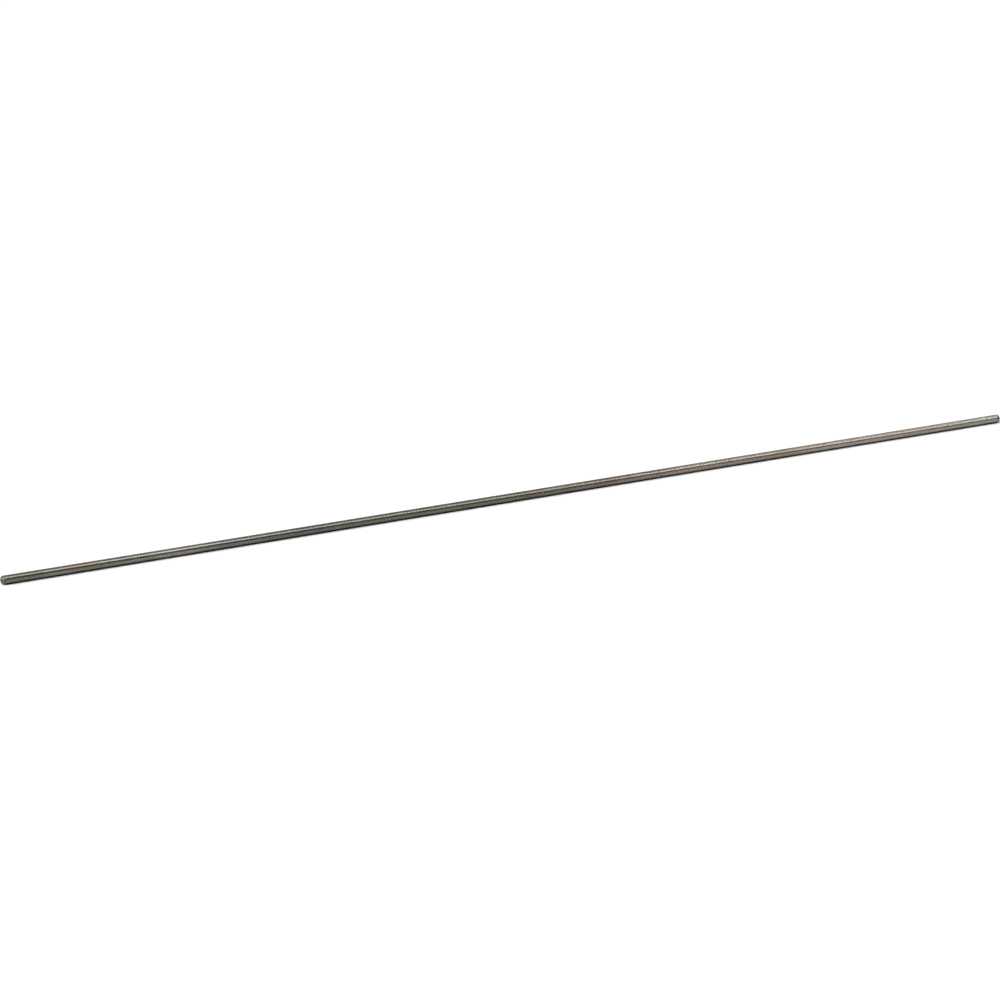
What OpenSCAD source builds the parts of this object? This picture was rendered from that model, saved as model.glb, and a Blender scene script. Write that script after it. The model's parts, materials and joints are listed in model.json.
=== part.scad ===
// Fully threaded rod: 1/4 inch, 20 threads per inch, 36 inches long.
// One solid steel bar with its axis along X and its middle at the origin.
// The bar has the size over the thread crests. Each end has a chamfer that
// runs down to the thread root, where a nut starts, and a small round where
// the chamfer meets the end face.

/* [Thread] */
// Diameter over the thread crests
crest_d = 6.35; // [4:0.05:30]
// Number of threads in each inch of length
threads_per_inch = 20; // [13:1:56]

/* [Bar] */
// Length from one end face to the other
bar_l = 914.4; // [50:0.1:3660]

/* [Ends] */
// Angle between the chamfer and the axis
chamfer_angle = 45; // [20:1:70]
// How far the chamfer runs in past the thread root, on the radius
chamfer_past_root = 0.05; // [0:0.01:0.4]
// Radius of the round between the chamfer and the end face
end_round_r = 0.15; // [0.05:0.01:0.3]

/* [Hidden] */

INCH = 25.4;
pitch = INCH / threads_per_inch;

// A unified thread has 60 degree flanks, and is 17/24 of its sharp height deep
sharp_height = pitch * cos(30);
thread_depth = sharp_height * 17 / 24;
crest_r = crest_d / 2;
root_r = crest_r - thread_depth;

// The sharp corner between the end face and the chamfer, before it is rounded
corner_r = root_r - chamfer_past_root;
chamfer_l = (crest_r - corner_r) / tan(chamfer_angle);

half_l = bar_l / 2;
bar_sides = 96;
round_steps = 4;

// Outline of one end, from the axis to the crests: [radius, distance in from the end face].
// The round is an arc that starts square to the end face and turns onto the chamfer.
function end_outline() =
    let (
        turn = 90 - chamfer_angle,
        arc_start_r = corner_r - end_round_r * tan(turn / 2),
        arc = [for (i = [0:round_steps])
            let (a = turn * i / round_steps)
            [arc_start_r + end_round_r * sin(a), end_round_r * (1 - cos(a))]]
    )
    concat([[0, 0]], arc, [[crest_r, chamfer_l]]);

// Half of the section through the axis, which the bar is turned from
module half_section() {
    outline = end_outline();
    last = len(outline) - 1;
    top_end = [for (i = [0:last]) [outline[i][0], half_l - outline[i][1]]];
    bottom_end = [for (i = [last:-1:0]) [outline[i][0], outline[i][1] - half_l]];
    polygon(concat(top_end, bottom_end));
}

module threaded_rod() {
    color([0.50, 0.48, 0.45])
        rotate([0, 90, 0])
            rotate_extrude($fn = bar_sides)
                half_section();
}

threaded_rod();
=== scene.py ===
# Fully threaded steel rod, 1/4 inch with 20 threads per inch, lying on a pale table
import json
import math

import bmesh
import bpy
import numpy as np
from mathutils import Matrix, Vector


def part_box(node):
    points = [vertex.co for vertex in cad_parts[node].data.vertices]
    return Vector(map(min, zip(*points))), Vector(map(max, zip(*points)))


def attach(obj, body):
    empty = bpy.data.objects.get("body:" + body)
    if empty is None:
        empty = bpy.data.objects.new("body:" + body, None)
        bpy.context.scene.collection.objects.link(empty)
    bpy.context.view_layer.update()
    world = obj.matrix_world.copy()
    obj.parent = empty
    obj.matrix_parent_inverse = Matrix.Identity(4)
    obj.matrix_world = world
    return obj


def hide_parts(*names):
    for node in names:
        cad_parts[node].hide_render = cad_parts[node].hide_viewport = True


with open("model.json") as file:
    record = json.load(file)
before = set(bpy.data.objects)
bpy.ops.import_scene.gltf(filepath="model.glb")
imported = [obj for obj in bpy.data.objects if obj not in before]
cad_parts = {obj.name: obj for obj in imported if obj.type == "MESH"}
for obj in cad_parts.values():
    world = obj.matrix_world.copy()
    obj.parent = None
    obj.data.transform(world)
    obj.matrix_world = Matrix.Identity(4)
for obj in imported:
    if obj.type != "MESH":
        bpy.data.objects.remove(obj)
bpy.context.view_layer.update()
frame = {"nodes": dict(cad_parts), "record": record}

mm = 0.001
print("frame loaded:", ", ".join(frame["nodes"]))

threadMount = next(m for m in frame["record"]["mounts"] if m["name"] == "thread_plus_x")
crestRadius = threadMount["dims"]["r_mm"] * mm
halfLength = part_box("threaded_rod")[1].x
floorLevel = -crestRadius

rod = {
    "pitch": 25.4 / 20 * mm,
    "crestFlat": 1 / 8,                     # share of the pitch
    "flankAngle": 30,                       # from square to the axis
    "rootRadius": 0.144,                    # share of the pitch
    "segments": 27,                         # round one turn
    "spareTurns": 2,                        # past each end face, before the ends are cut
    "nicks": 160,                           # small dents along the crests
    "nickDepth": 0.07 * mm,
    "nickVary": (0.2, 1),                   # least and most of that depth
    "nickFarEdge": (0.3, 1),                # least and most of a nick on the far edge
    "nickSeed": 7,
    "chamferAngle": 45,
    "pastRoot": 0.05 * mm,                  # how far the chamfer runs in past the root
    "cornerRound": 0.15 * mm,
    "cornerSteps": 3,
    "cutSegments": 72,
    "weld": 0.0005 * mm,                    # points as close as this are joined after the cut
    "sliver": 0.0002 * mm,                  # edges as short as this are taken out
    "sharpAngle": 35,                       # edges of crests and cuts that bend more stay crisp
    "sharpDepth": 1 / 6,                    # how far below the crest its edges lie, in pitches
}


# thread and cut ends

def threadProfile(r):
    # one pitch of the thread as (along the axis, radius), from the start of a crest
    pitch = r["pitch"]
    slope = math.radians(r["flankAngle"])
    halfCrest = pitch * r["crestFlat"] / 2
    roundR = pitch * r["rootRadius"]
    reach = roundR * math.cos(slope)        # from the root's middle to a flank
    meetR = crestRadius - (pitch / 2 - reach - halfCrest) / math.tan(slope)
    bottomR = meetR - roundR * (1 - math.sin(slope))
    return [
        (-halfCrest, crestRadius),
        (halfCrest, crestRadius),
        (pitch / 2 - reach, meetR),
        (pitch / 2, bottomR),
        (pitch / 2 + reach, meetR),
    ]


def rootLevel(r):
    return min(radius for along, radius in threadProfile(r))


def threadMesh(r):
    profile = np.array(threadProfile(r))
    points = len(profile)
    turn = r["segments"]
    turns = 2 * (math.ceil(halfLength / r["pitch"]) + r["spareTurns"])
    steps = turns * turn + 1
    step = np.arange(steps)
    angle = 2 * math.pi * step / turn
    along = r["pitch"] * (step / turn - turns / 2)
    x = along[:, None] + profile[:, 0]
    radius = np.repeat(profile[None, :, 1], steps, 0)

    rng = np.random.default_rng(r["nickSeed"])
    nicked = rng.integers(0, steps, r["nicks"])
    depth = r["nickDepth"] * rng.uniform(*r["nickVary"], r["nicks"])
    radius[nicked, 0] -= depth
    radius[nicked, 1] -= depth * rng.uniform(*r["nickFarEdge"], r["nicks"])

    y = radius * np.cos(angle)[:, None]
    z = radius * np.sin(angle)[:, None]
    verts = np.stack([x, y, z], 2).reshape(-1, 3)

    # strips between neighbouring profile points, and one on to the next turn's crest
    here = (step[:-1, None] * points + np.arange(points - 1)).ravel()
    quads = np.stack([here, here + 1, here + points + 1, here + points], 1)
    last = step[:-1 - turn] * points + points - 1
    over = (step[:-1 - turn] + turn) * points
    joins = np.stack([last, over, over + points, last + points], 1)
    faces = np.concatenate([quads, joins]).tolist()

    # a fan over each open end, which the cut takes away
    first = [i * points for i in range(turn + 1)]
    first += [points - 1 - j for j in range(points - 1)]
    end = [(steps - 1) * points + j for j in range(points)]
    end += [(steps - 1 - i) * points + points - 1 for i in range(1, turn + 1)]
    verts = verts.tolist() + [[x.min() - r["pitch"], 0, 0], [x.max() + r["pitch"], 0, 0]]
    for loop, tip in ((first, len(verts) - 2), (end, len(verts) - 1)):
        faces += [[a, b, tip] for a, b in zip(loop, loop[1:] + loop[:1])]
    return verts, faces


def blankMesh(r):
    # the bar that the ends are cut to: a chamfer at each end, rounded into the end face
    slope = math.radians(r["chamferAngle"])
    outerR = crestRadius + r["pitch"] / 2
    cornerR = rootLevel(r) - r["pastRoot"]
    roundR = r["cornerRound"]
    bend = math.pi / 2 - slope
    startR = cornerR - roundR * math.tan(bend / 2)
    outline = []                            # (distance from the end face, radius)
    for i in range(r["cornerSteps"] + 1):
        a = bend * i / r["cornerSteps"]
        outline.append((roundR * (1 - math.cos(a)), startR + roundR * math.sin(a)))
    outline.append(((outerR - cornerR) / math.tan(slope), outerR))
    rings = [(halfLength - inward, radius) for inward, radius in outline]
    rings += [(inward - halfLength, radius) for inward, radius in reversed(outline)]

    n = r["cutSegments"]
    verts = []
    for x, radius in rings:
        for k in range(n):
            angle = 2 * math.pi * k / n
            verts.append((x, radius * math.cos(angle), radius * math.sin(angle)))
    faces = []
    for i in range(len(rings) - 1):
        for k in range(n):
            a = i * n + k
            b = i * n + (k + 1) % n
            faces.append((a, b, b + n, a + n))
    faces.append(tuple(reversed(range(n))))
    faces.append(tuple(range(len(verts) - n, len(verts))))
    return verts, faces


def meshObject(name, verts, faces, materials, slot=0):
    mesh = bpy.data.meshes.new(name)
    mesh.from_pydata(verts, [], faces)
    for mat in materials:
        mesh.materials.append(mat)
    bm = bmesh.new()
    bm.from_mesh(mesh)
    bmesh.ops.recalc_face_normals(bm, faces=bm.faces)
    for face in bm.faces:
        face.material_index = slot
        face.smooth = True
    bm.to_mesh(mesh)
    bm.free()
    obj = bpy.data.objects.new(name, mesh)
    bpy.context.scene.collection.objects.link(obj)
    return obj


def cutToLength(obj, cutter):
    cutting = obj.modifiers.new("cut", "BOOLEAN")
    cutting.operation = "INTERSECT"
    cutting.solver = "MANIFOLD"
    cutting.object = cutter
    graph = bpy.context.evaluated_depsgraph_get()
    done = bpy.data.meshes.new_from_object(obj.evaluated_get(graph))
    obj.modifiers.clear()
    whole = obj.data
    name = whole.name
    obj.data = done
    bpy.data.meshes.remove(whole)
    done.name = name
    bpy.data.objects.remove(cutter)


def crispEdges(obj, r):
    # the edges of the crests and of the cuts stay crisp
    bm = bmesh.new()
    bm.from_mesh(obj.data)
    bmesh.ops.remove_doubles(bm, verts=bm.verts, dist=r["weld"])
    bmesh.ops.dissolve_degenerate(bm, edges=bm.edges, dist=r["sliver"])
    crestFrom = crestRadius - r["pitch"] * r["sharpDepth"]
    sharpAngle = math.radians(r["sharpAngle"])
    openEdges = 0
    for edge in bm.edges:
        if len(edge.link_faces) != 2:
            openEdges += 1
            continue
        a, b = edge.link_faces
        onCrest = min(math.hypot(v.co.y, v.co.z) for v in edge.verts) > crestFrom
        crisp = onCrest or a.material_index != b.material_index
        edge.smooth = not (crisp and edge.calc_face_angle(0) > sharpAngle)
    print("thread:", len(bm.faces), "faces,", openEdges, "open edges")
    bm.to_mesh(obj.data)
    bm.free()


# shader helpers: an input is a plain value or another node's output

def setInput(tree, socket, value):
    if isinstance(value, bpy.types.NodeSocket):
        tree.links.new(value, socket)
    else:
        socket.default_value = value


def addNode(tree, kind, inputs=None, **settings):
    made = tree.nodes.new("ShaderNode" + kind)
    for name, value in settings.items():
        setattr(made, name, value)
    for name, value in (inputs or {}).items():
        setInput(tree, made.inputs[name], value)
    return made


def calc(tree, operation, a, b=0.0):
    return addNode(tree, "Math", {0: a, 1: b}, operation=operation).outputs[0]


def ramp(tree, value, start, stop, low=0.0, high=1.0):
    inputs = {
        "Value": value, "From Min": start, "From Max": stop, "To Min": low, "To Max": high}
    made = addNode(tree, "MapRange", inputs, interpolation_type="SMOOTHSTEP")
    return made.outputs["Result"]


def blendColor(tree, mask, a, b, mode="MIX"):
    inputs = {0: mask, 6: a, 7: b}
    return addNode(tree, "Mix", inputs, data_type="RGBA", blend_type=mode).outputs[2]


def blendValue(tree, mask, a, b):
    return addNode(tree, "Mix", {0: mask, 2: a, 3: b}, data_type="FLOAT").outputs[0]


def vectorCalc(tree, operation, a, b):
    return addNode(tree, "VectorMath", {0: a, 1: b}, operation=operation).outputs[0]


def combine(tree, x, y, z=0.0):
    return addNode(tree, "CombineXYZ", {0: x, 1: y, 2: z}).outputs[0]


def separate(tree, vector):
    return addNode(tree, "SeparateXYZ", {0: vector}).outputs


def noise(tree, vector, scale, detail, roughness):
    inputs = {"Vector": vector, "Scale": scale, "Detail": detail, "Roughness": roughness}
    return addNode(tree, "TexNoise", inputs).outputs["Fac"]


def centred(tree, value):
    # a noise runs from 0 to 1, and this puts its middle at 0
    return calc(tree, "SUBTRACT", value, 0.5)


def fray(tree, value, spots, amount):
    # moves a measure up and down with a noise, for a ragged edge where it crosses a limit
    shift = calc(tree, "MULTIPLY", centred(tree, spots), amount)
    return calc(tree, "ADD", value, shift)


def newGroup(name, inputs, outputs):
    group = bpy.data.node_groups.new(name, "ShaderNodeTree")
    for socketName, kind, value in inputs:
        kind = "NodeSocket" + kind
        socket = group.interface.new_socket(socketName, in_out="INPUT", socket_type=kind)
        if value is not None:
            socket.default_value = value
    for socketName, kind in outputs:
        kind = "NodeSocket" + kind
        group.interface.new_socket(socketName, in_out="OUTPUT", socket_type=kind)
    given = group.nodes.new("NodeGroupInput").outputs
    result = group.nodes.new("NodeGroupOutput").inputs
    return group, given, result


def useGroup(tree, group, inputs):
    made = tree.nodes.new("ShaderNodeGroup")
    made.node_tree = group
    for name, value in inputs.items():
        setInput(tree, made.inputs[name], value)
    return made.outputs


def newMaterial(name):
    mat = bpy.data.materials.new(name)
    mat.use_nodes = True
    return mat, mat.node_tree, mat.node_tree.nodes["Principled BSDF"]


# effects that both finishes of the rod use

oxide = {
    "drawnOut": (1.0, 3.0, 3.0),            # patches are longer along the bar
    "shift": (3.1, 0.7, 1.9),               # keeps green and oil off the brown
    # how fine the patches are, where they fade in and where they are full
    "brown": (24.0, 0.5, 0.68),
    "green": (31.0, 0.54, 0.7),
    "oil": (13.0, 0.48, 0.62),
}

lines = {
    "wideCount": 0.23,                      # wide lines for each fine one
    "wideShare": 0.4,
    "wideSlice": 5.0,                       # so that they don't follow the fine ones
    "streaks": (0.4, 0.6),                  # where a streak fades in and where it is full
}

grimeAndShadeLook = {
    "patchScale": 60.0,
    "holds": (0.5, 1.0),                    # level where grime and painted shade begin and where they are full
}


def threadPlaceGroup():
    # where a point lies on the thread: turns along and round the bar, share of a pitch from
    # the crest's middle, and depth below the crest from 0 to 1 at the root
    group, given, result = newGroup(
        "threadPlace",
        [("Pitch", "Float", 0.001), ("Crest", "Float", 0.003), ("Depth", "Float", 0.001)],
        [("Turns", "Float"), ("Round", "Float"), ("Phase", "Float"), ("Below", "Float"),
         ("Radius", "Float"), ("Position", "Vector")])
    at = addNode(group, "TexCoord").outputs["Object"]
    part = separate(group, at)
    turns = calc(group, "DIVIDE", part["X"], given["Pitch"])
    angle = calc(group, "DIVIDE", calc(group, "ARCTAN2", part["Z"], part["Y"]), 2 * math.pi)
    squares = [calc(group, "MULTIPLY", part[a], part[a]) for a in "YZ"]
    radius = calc(group, "SQRT", calc(group, "ADD", *squares))
    # a crest's middle is at a whole number of turns, so half a turn more puts it at 0.5
    phase = calc(group, "ADD", calc(group, "SUBTRACT", turns, angle), 0.5)
    phase = calc(group, "SUBTRACT", calc(group, "FRACT", phase), 0.5)
    depth = calc(group, "SUBTRACT", given["Crest"], radius)
    below = calc(group, "DIVIDE", depth, given["Depth"])
    for name, value in (("Turns", turns), ("Round", angle), ("Phase", phase),
                        ("Below", below), ("Radius", radius), ("Position", at)):
        group.links.new(value, result[name])
    return group


def oxideGroup(c):
    # large soft patches of brown and green oxide and of oil, as a tint to multiply with
    white = (1, 1, 1, 1)
    group, given, result = newGroup(
        "oxideTint",
        [("Position", "Vector", None), ("Strength", "Float", 1.0),
         ("Brown", "Color", white), ("Green", "Color", white), ("Oil", "Color", white)],
        [("Color", "Color"), ("Oily", "Float")])
    place = vectorCalc(group, "MULTIPLY", given["Position"], c["drawnOut"])
    shifted = vectorCalc(group, "ADD", place, c["shift"])
    color = white
    for name, vector in (("Brown", place), ("Green", shifted), ("Oil", shifted)):
        scale, start, full = c[name.lower()]
        spots = noise(group, vector, scale, detail=3.0, roughness=0.55)
        mask = calc(group, "MULTIPLY", ramp(group, spots, start, full), given["Strength"])
        color = blendColor(group, mask, color, given[name], "MULTIPLY")
    group.links.new(color, result["Color"])
    group.links.new(mask, result["Oily"])
    return group


def toolMarksGroup(c):
    # fine and wide lines left by dies and cutters, drawn out along one direction
    group, given, result = newGroup(
        "toolMarks",
        [("Across", "Float", 0.0), ("Along", "Float", 0.0), ("Lines", "Float", 20.0),
         ("Breaks", "Float", 3.0)],
        [("Height", "Float"), ("Streaks", "Float")])
    across = calc(group, "MULTIPLY", given["Across"], given["Lines"])
    along = calc(group, "MULTIPLY", given["Along"], given["Breaks"])
    fine = noise(group, combine(group, across, along), 1.0, detail=2.0, roughness=0.6)
    across = calc(group, "MULTIPLY", across, c["wideCount"])
    place = combine(group, across, along, c["wideSlice"])
    wide = noise(group, place, 1.0, detail=3.0, roughness=0.5)
    both = blendValue(group, c["wideShare"], fine, wide)
    group.links.new(both, result["Height"])
    group.links.new(ramp(group, both, *c["streaks"]), result["Streaks"])
    return group


def grimeAndShadeGroup(c):
    # dirt and dried oil, and painted shade, held where a given level is high, with ragged edges
    group, given, result = newGroup(
        "grimeAndShade",
        [("Position", "Vector", None), ("Level", "Float", 0.0), ("Ragged", "Float", 0.4),
         ("Scale", "Float", 900.0)],
        [("Mask", "Float")])
    spots = noise(group, given["Position"], given["Scale"], detail=4.0, roughness=0.6)
    patches = noise(group, given["Position"], c["patchScale"], detail=2.0, roughness=0.5)
    both = calc(group, "ADD", centred(group, spots), centred(group, patches))
    spread = calc(group, "MULTIPLY", both, given["Ragged"])
    level = calc(group, "ADD", given["Level"], spread)
    group.links.new(ramp(group, level, *c["holds"]), result["Mask"])
    return group


threadPlace = threadPlaceGroup()
oxideTint = oxideGroup(oxide)
toolMarks = toolMarksGroup(lines)
grimeAndShade = grimeAndShadeGroup(grimeAndShadeLook)


# finishes of the rod

rolled = {
    "steel": (0.41, 0.39, 0.36, 1),
    "streak": (0.16, 0.152, 0.142, 1),
    "crest": (0.46, 0.443, 0.41, 1),        # rubbed bright
    # dark of grime and painted shade, laid in the thread roots and the crest seam
    "grimeAndShade": (0.045, 0.041, 0.036, 1),
    "brown": (1.0, 0.86, 0.72, 1),
    "green": (0.9, 0.96, 0.82, 1),
    "oil": (0.84, 0.82, 0.79, 1),
    "scale": (0.07, 0.066, 0.06, 1),        # dark from the cut, on the last threads at +X
    "streakCover": 0.3,                     # how far each of these hides the steel
    "crestCover": 0.75,
    "grimeAndShadeCover": 0.85,
    "seamCover": 0.6,
    "roughness": (0.08, 0.16),              # between and on the streaks
    "oilRoughness": 0.1,
    "oilCover": 0.5,
    "dirtRoughness": 0.6,
    "dirtMetallic": 0.55,
    "dirtShine": 0.15,
    "lines": 16.0,                          # in the depth of the thread
    "breaks": 2.5,                          # of the lines in each turn
    "flankShift": 2.7,                      # so that the two flanks have lines of their own
    "spotScale": 420.0,
    "raggedGrimeAndShade": 0.9,
    "rubbedDepth": 0.16,                    # of the crest, as a share of the thread's depth
    "rubbedSpots": (0.32, 0.5),
    "seam": 0.016,                          # half width of the fold along the crest, in pitches
    "seamFull": 0.3,                        # share of that where it is darkest
    "seamSpots": (0.36, 0.56),
    "seamDepth": 1.5,                       # of the fold, for lines 1 high
    "spotHeight": 0.5,                      # of small pits, in the same measure
    "relief": 0.004 * mm,                   # height of the lines
    "undersideShade": 0.35,                      # painted shade: how much of the colour is left on the side it lies on
    "undersideShadeFrom": (-0.65, -0.4),         # height of its edge, in crest radii
    "scaleLength": 2.6 * mm,                # from the end face
    "scaleFade": 0.9 * mm,
    "scaleRagged": 2.5 * mm,
    "scaleDull": 0.4,                       # how much scale looks like dirt
    # stretches of the bar that came out darker, lighter or warmer: middle, half length, tint
    "stretches": [
        (-0.455, 0.03, (0.9, 0.88, 0.87, 1)),
        (-0.305, 0.03, (1.2, 1.2, 1.22, 1)),
        (-0.24, 0.06, (0.91, 0.92, 0.94, 1)),
        (-0.09, 0.165, (0.745, 0.75, 0.735, 1)),
        (-0.03, 0.1, (0.98, 0.99, 0.94, 1)),
        (0.1, 0.045, (0.93, 0.93, 0.95, 1)),
        (0.235, 0.165, (1.14, 1.06, 1.0, 1)),
        (0.44, 0.04, (1.05, 1.06, 1.04, 1)),
    ],
    "stretchFade": (1.2, 0.7),              # where a tint begins and is full, in half lengths
}

cutEnd = {
    "steel": (0.38, 0.362, 0.336, 1),
    "torn": (0.17, 0.162, 0.15, 1),         # where the shear broke through
    "scale": (0.085, 0.08, 0.074, 1),       # dark scale on the chamfer and the rim of the face
    # dark of grime and painted shade, laid along the step of the break
    "grimeAndShade": (0.03, 0.027, 0.024, 1),
    "brown": (1.0, 0.78, 0.58, 1),
    "brownStrength": 0.6,
    "streakCover": 0.35,                    # how far these hide the steel
    "grimeAndShadeCover": 0.9,
    "roughness": (0.2, 0.5),                # sheared smooth, and torn
    "streakRoughness": 0.12,                # added on the streaks
    "scaleRoughness": 0.36,
    "dirtMetallic": 0.6,
    "dirtShine": 0.15,
    "turnedLines": 14000.0,                 # in each metre outward on the chamfer
    "turnedBreaks": 2.0,                    # of the lines in each turn
    "shearLines": 9000.0,                   # in each metre across the face
    "shearBreaks": 900.0,
    "spotScale": 900.0,
    "faceFrom": (1.04, 1.15),               # edge of the face, in thread depths from the crest
    "chamferFrom": (1.1, 0.95),             # edge of the chamfer, in the same measure
    "cleanRadius": 1.6 * mm,                # patch of the face that is free of scale
    "cleanOffset": 0.6 * mm,                # of that patch toward -Y
    "cleanFade": 0.2 * mm,
    "cleanRagged": 1.6 * mm,
    "chamferSpots": (0.7, 0.5),
    "chamferScale": (0.6, 1.0),             # least and most scale on the chamfer
    "scaleDull": 0.4,                       # how much scale looks like dirt
    "breakHeight": 0.45 * mm,               # above the axis, where the smooth shear ends
    "breakWidth": 0.8 * mm,                 # of the step below it, darkened with painted shade and grime
    "breakFade": 0.1 * mm,
    "breakRagged": 1.3 * mm,
    "stepFade": (1.2, 0.6),                 # where the step begins and is full, in half widths
    "stepGrimeAndShade": 1.1,                        # level of grime and painted shade in the step
    "raggedGrimeAndShade": 1.2,
    "grimeAndShadeScale": 2600.0,
    "tornHeight": 3.0,                      # of the torn part, for lines 1 high
    "relief": 0.02 * mm,                    # height of the lines
}


def placeOnThread(tree, r):
    return useGroup(tree, threadPlace, {
        "Pitch": r["pitch"], "Crest": crestRadius, "Depth": crestRadius - rootLevel(r)})


def tintStretches(tree, along, color, c):
    begins, full = c["stretchFade"]
    for middle, half, tint in c["stretches"]:
        away = calc(tree, "ABSOLUTE", calc(tree, "SUBTRACT", along, middle))
        mask = ramp(tree, away, begins * half, full * half)
        color = blendColor(tree, mask, color, tint, "MULTIPLY")
    return color


def rolledSteelMaterial(c, r):
    mat, tree, shader = newMaterial("rolledSteel")
    place = placeOnThread(tree, r)
    part = separate(tree, place["Position"])
    tint = useGroup(tree, oxideTint, {
        "Position": place["Position"], "Brown": c["brown"], "Green": c["green"],
        "Oil": c["oil"]})
    side = calc(tree, "MULTIPLY", calc(tree, "SIGN", place["Phase"]), c["flankShift"])
    marks = useGroup(tree, toolMarks, {
        "Across": calc(tree, "ADD", place["Below"], side), "Along": place["Turns"],
        "Lines": c["lines"], "Breaks": c["breaks"]})
    # painted shade in the thread roots, with grime: the colour darkens the deeper a point lies
    # below the crest
    grimeAndShadeMask = useGroup(tree, grimeAndShade, {
        "Position": place["Position"], "Level": place["Below"],
        "Ragged": c["raggedGrimeAndShade"]})["Mask"]

    spots = noise(tree, place["Position"], c["spotScale"], detail=4.0, roughness=0.6)
    onCrest = ramp(tree, place["Below"], c["rubbedDepth"], 0.0)
    rubbed = calc(tree, "MULTIPLY", onCrest, ramp(tree, spots, *c["rubbedSpots"]))
    offMiddle = calc(tree, "ABSOLUTE", place["Phase"])
    inSeam = ramp(tree, offMiddle, c["seam"], c["seamFull"] * c["seam"])
    seam = calc(tree, "MULTIPLY", inSeam, ramp(tree, spots, *c["seamSpots"]))

    color = blendColor(tree, 1.0, c["steel"], tint["Color"], "MULTIPLY")
    # the crest seam gets the same dark colour: painted shade in the fold, with grime
    for mask, cover, over in ((marks["Streaks"], "streakCover", "streak"),
                              (rubbed, "crestCover", "crest"),
                              (grimeAndShadeMask, "grimeAndShadeCover", "grimeAndShade"),
                              (seam, "seamCover", "grimeAndShade")):
        color = blendColor(tree, calc(tree, "MULTIPLY", mask, c[cover]), color, c[over])
    color = tintStretches(tree, part["X"], color, c)
    # painted shade on the underside: the colour darkens toward the bottom, where the rod lies on
    # the table
    low, high = [edge * crestRadius for edge in c["undersideShadeFrom"]]
    shadeBelow = ramp(tree, part["Z"], low, high, c["undersideShade"], 1.0)
    shadedBelow = addNode(tree, "VectorMath", {0: color, "Scale": shadeBelow}, operation="SCALE")
    fromEnd = calc(tree, "SUBTRACT", halfLength, part["X"])
    fromEnd = fray(tree, fromEnd, spots, c["scaleRagged"])
    scale = ramp(tree, fromEnd, c["scaleLength"], c["scaleLength"] - c["scaleFade"])
    color = blendColor(tree, scale, shadedBelow.outputs[0], c["scale"])
    tree.links.new(color, shader.inputs["Base Color"])

    rough = blendValue(tree, marks["Streaks"], *c["roughness"])
    oily = calc(tree, "MULTIPLY", tint["Oily"], c["oilCover"])
    rough = blendValue(tree, oily, rough, c["oilRoughness"])
    dull = calc(tree, "MAXIMUM", grimeAndShadeMask, calc(tree, "MULTIPLY", scale, c["scaleDull"]))
    rough = blendValue(tree, dull, rough, c["dirtRoughness"])
    tree.links.new(rough, shader.inputs["Roughness"])
    metallic = blendValue(tree, dull, 1.0, c["dirtMetallic"])
    tree.links.new(metallic, shader.inputs["Metallic"])
    shader.inputs["Specular IOR Level"].default_value = c["dirtShine"]

    sunk = calc(tree, "MULTIPLY", seam, c["seamDepth"])
    height = calc(tree, "SUBTRACT", marks["Height"], sunk)
    height = calc(tree, "ADD", height, calc(tree, "MULTIPLY", spots, c["spotHeight"]))
    bump = addNode(tree, "Bump", {"Height": height, "Distance": c["relief"]})
    tree.links.new(bump.outputs["Normal"], shader.inputs["Normal"])
    return mat


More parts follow.
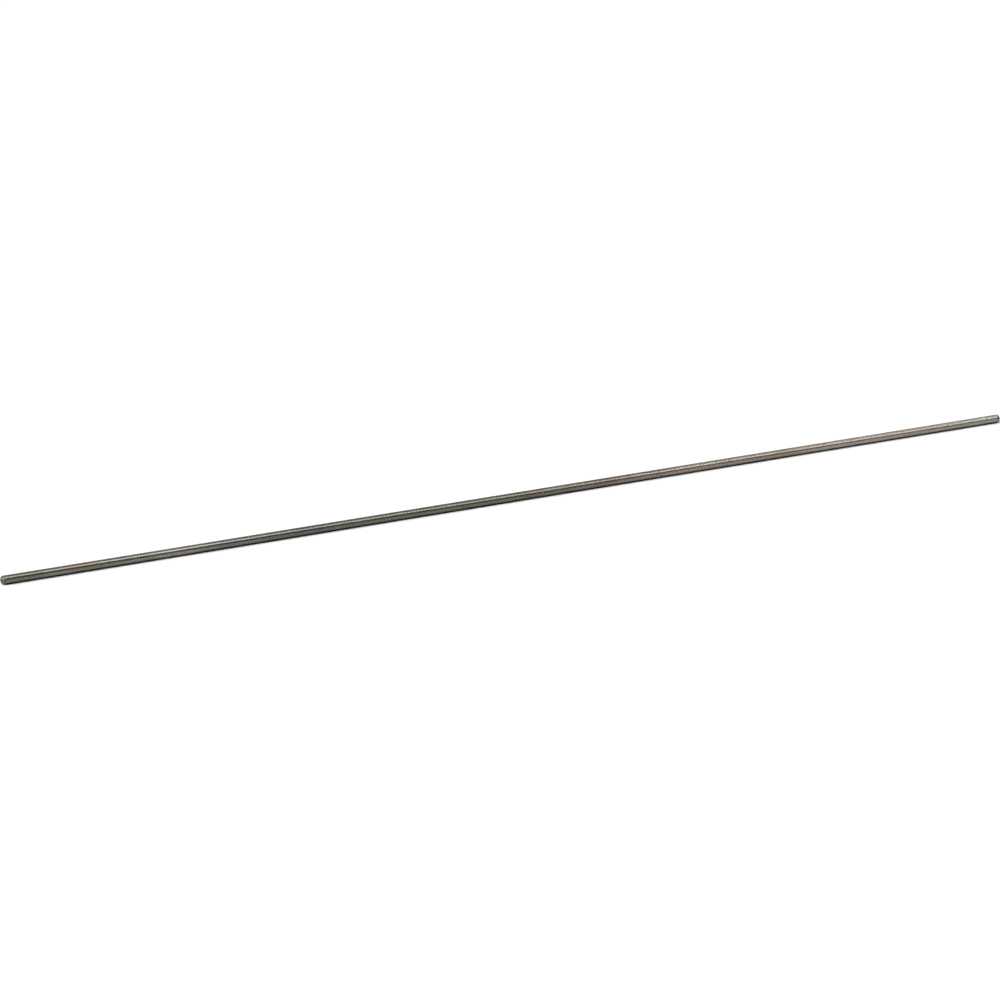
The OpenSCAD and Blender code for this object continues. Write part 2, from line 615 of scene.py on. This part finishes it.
def cutSteelMaterial(c, r):
    mat, tree, shader = newMaterial("cutSteel")
    place = placeOnThread(tree, r)
    part = separate(tree, place["Position"])
    tint = useGroup(tree, oxideTint, {
        "Position": place["Position"], "Strength": c["brownStrength"], "Brown": c["brown"]})
    inFace = ramp(tree, place["Below"], *c["faceFrom"])
    turned = useGroup(tree, toolMarks, {
        "Across": place["Radius"], "Along": place["Round"], "Lines": c["turnedLines"],
        "Breaks": c["turnedBreaks"]})
    sheared = useGroup(tree, toolMarks, {
        "Across": part["Y"], "Along": part["Z"], "Lines": c["shearLines"],
        "Breaks": c["shearBreaks"]})
    spots = noise(tree, place["Position"], c["spotScale"], detail=4.0, roughness=0.6)

    # the break: torn below the smooth shear, with painted shade and grime along a step where it
    # starts
    level = fray(tree, part["Z"], spots, c["breakRagged"])
    torn = ramp(tree, level, c["breakHeight"], c["breakHeight"] - c["breakFade"])
    torn = calc(tree, "MULTIPLY", torn, inFace)
    halfBreak = c["breakWidth"] / 2
    begins, full = [share * halfBreak for share in c["stepFade"]]
    away = calc(tree, "SUBTRACT", level, c["breakHeight"] - halfBreak)
    step = ramp(tree, calc(tree, "ABSOLUTE", away), begins, full)
    step = calc(tree, "MULTIPLY", step, inFace)
    # painted shade and grime along the step, which is drawn only in colour
    grimeAndShadeMask = useGroup(tree, grimeAndShade, {
        "Position": place["Position"], "Level": calc(tree, "MULTIPLY", step, c["stepGrimeAndShade"]),
        "Ragged": c["raggedGrimeAndShade"], "Scale": c["grimeAndShadeScale"]})["Mask"]

    # scale all round a clean patch, and on the chamfer
    shifted = vectorCalc(tree, "ADD", place["Position"], (0, c["cleanOffset"], 0))
    shifted = vectorCalc(tree, "MULTIPLY", shifted, (0, 1, 1))
    out = addNode(tree, "VectorMath", {0: shifted}, operation="LENGTH").outputs["Value"]
    out = fray(tree, out, spots, c["cleanRagged"])
    fade = c["cleanFade"]
    rim = ramp(tree, out, c["cleanRadius"] - fade, c["cleanRadius"] + fade)
    onChamfer = ramp(tree, place["Below"], *c["chamferFrom"])
    patchy = ramp(tree, spots, *c["chamferSpots"], *c["chamferScale"])
    scale = calc(tree, "MAXIMUM", rim, calc(tree, "MULTIPLY", onChamfer, patchy))

    streaks = blendValue(tree, inFace, turned["Streaks"], sheared["Streaks"])
    color = blendColor(tree, torn, c["steel"], c["torn"])
    color = blendColor(tree, 1.0, color, tint["Color"], "MULTIPLY")
    streaked = calc(tree, "MULTIPLY", streaks, c["streakCover"])
    color = blendColor(tree, streaked, color, c["torn"])
    color = blendColor(tree, scale, color, c["scale"])
    color = blendColor(tree, calc(tree, "MULTIPLY", grimeAndShadeMask, c["grimeAndShadeCover"]), color, c["grimeAndShade"])
    tree.links.new(color, shader.inputs["Base Color"])

    smoothShear, tornShear = c["roughness"]
    added = calc(tree, "MULTIPLY", streaks, c["streakRoughness"])
    rough = calc(tree, "ADD", added, smoothShear)
    rough = blendValue(tree, scale, rough, c["scaleRoughness"])
    rough = blendValue(tree, torn, rough, tornShear)
    tree.links.new(rough, shader.inputs["Roughness"])
    dull = calc(tree, "MAXIMUM", grimeAndShadeMask, calc(tree, "MULTIPLY", scale, c["scaleDull"]))
    metallic = blendValue(tree, dull, 1.0, c["dirtMetallic"])
    tree.links.new(metallic, shader.inputs["Metallic"])
    shader.inputs["Specular IOR Level"].default_value = c["dirtShine"]

    height = blendValue(tree, inFace, turned["Height"], sheared["Height"])
    height = blendValue(tree, torn, height, calc(tree, "MULTIPLY", spots, c["tornHeight"]))
    bump = addNode(tree, "Bump", {"Height": height, "Distance": c["relief"]})
    tree.links.new(bump.outputs["Normal"], shader.inputs["Normal"])
    return mat


finishes = [rolledSteelMaterial(rolled, rod), cutSteelMaterial(cutEnd, rod)]
thread = meshObject("rolledThread", *threadMesh(rod), finishes)
print("thread drawn:", len(thread.data.polygons), "faces")
cutToLength(thread, meshObject("blank", *blankMesh(rod), finishes, slot=1))
crispEdges(thread, rod)
weighted = thread.modifiers.new("evenFlanks", "WEIGHTED_NORMAL")
weighted.keep_sharp = True
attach(thread, "root")
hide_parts("threaded_rod")
print("rod done")


# table, light and camera

table = {"size": 40.0, "color": (0.9, 0.9, 0.9, 1)}

# soft lights round the table: middle and half width in degrees from +X, lower and upper
# edge above the horizon
studio = {
    "blur": 4,                              # degrees over which an edge fades
    "lights": {
        "leftHigh": {"azimuth": -165, "spread": 45, "low": 40, "high": 55, "light": 11.9},
        "leftMiddle": {"azimuth": -165, "spread": 15, "low": 30, "high": 40, "light": 5.0},
        "leftLow": {"azimuth": -165, "spread": 15, "low": 9, "high": 22, "light": 3.5},
        "leftRear": {"azimuth": 165, "spread": 15, "low": 15, "high": 22, "light": 6.0},
        "right": {"azimuth": -30, "spread": 30, "low": 40, "high": 55, "light": 2.8},
        "back": {"azimuth": 135, "spread": 15, "low": 30, "high": 40, "light": 0.5},
        "rear": {"azimuth": 60, "spread": 60, "low": 5, "high": 50, "light": 1.0},
    },
}

view = {
    "azimuth": -39.5,
    "elevation": 11.389,
    "distance": 4.21394,
    "lens": 215.0,
    "sensor": 36,
    "aim": (-0.030684, 0.0, -0.0004205),
    "clip": (0.01, 100),
}


def makeTable(t):
    half = t["size"] / 2
    around = ((-half, -half), (half, -half), (half, half), (-half, half))
    corners = [(x, y, floorLevel) for x, y in around]
    mat, _, shader = newMaterial("tableTop")
    shader.inputs["Base Color"].default_value = t["color"]
    shader.inputs["Roughness"].default_value = 1.0
    shader.inputs["Specular IOR Level"].default_value = 0.0
    meshObject("table", corners, [(0, 1, 2, 3)], [mat])


def makeStudio(s):
    world = bpy.data.worlds.new("studio")
    bpy.context.scene.world = world
    world.use_nodes = True
    tree = world.node_tree
    toward = addNode(tree, "TexCoord").outputs["Generated"]
    flat = vectorCalc(tree, "MULTIPLY", toward, (1, 1, 0))
    flat = addNode(tree, "VectorMath", {0: flat}, operation="NORMALIZE").outputs[0]
    sine = separate(tree, toward)["Z"]
    height = calc(tree, "MULTIPLY", calc(tree, "ARCSINE", sine), 180 / math.pi)
    soft = s["blur"] / 2
    total = 0.0
    for one in s["lights"].values():
        above = ramp(tree, height, one["low"] - soft, one["low"] + soft)
        below = ramp(tree, height, one["high"] + soft, one["high"] - soft)
        middle = math.radians(one["azimuth"])
        inputs = {0: flat, 1: (math.cos(middle), math.sin(middle), 0)}
        facing = addNode(tree, "VectorMath", inputs, operation="DOT_PRODUCT").outputs["Value"]
        edges = [math.cos(math.radians(one["spread"] + d)) for d in (soft, -soft)]
        mask = calc(tree, "MULTIPLY", above, below)
        mask = calc(tree, "MULTIPLY", mask, ramp(tree, facing, *edges))
        total = calc(tree, "ADD", total, calc(tree, "MULTIPLY", mask, one["light"]))
    background = tree.nodes["Background"]
    background.inputs["Color"].default_value = (1, 1, 1, 1)
    tree.links.new(total, background.inputs["Strength"])


def makeCamera(v):
    data = bpy.data.cameras.new("view")
    camera = bpy.data.objects.new("view", data)
    bpy.context.scene.collection.objects.link(camera)
    azimuth = math.radians(v["azimuth"])
    elevation = math.radians(v["elevation"])
    back = Vector((
        math.sin(azimuth) * math.cos(elevation),
        -math.cos(azimuth) * math.cos(elevation),
        math.sin(elevation),
    ))
    camera.location = Vector(v["aim"]) + v["distance"] * back
    camera.rotation_euler = back.to_track_quat("Z", "Y").to_euler()
    data.lens = v["lens"]
    data.sensor_width = v["sensor"]
    data.clip_start, data.clip_end = v["clip"]
    bpy.context.scene.camera = camera


makeTable(table)
makeStudio(studio)
makeCamera(view)
bpy.context.scene.view_settings.view_transform = "Standard"
print("table, light and camera done")
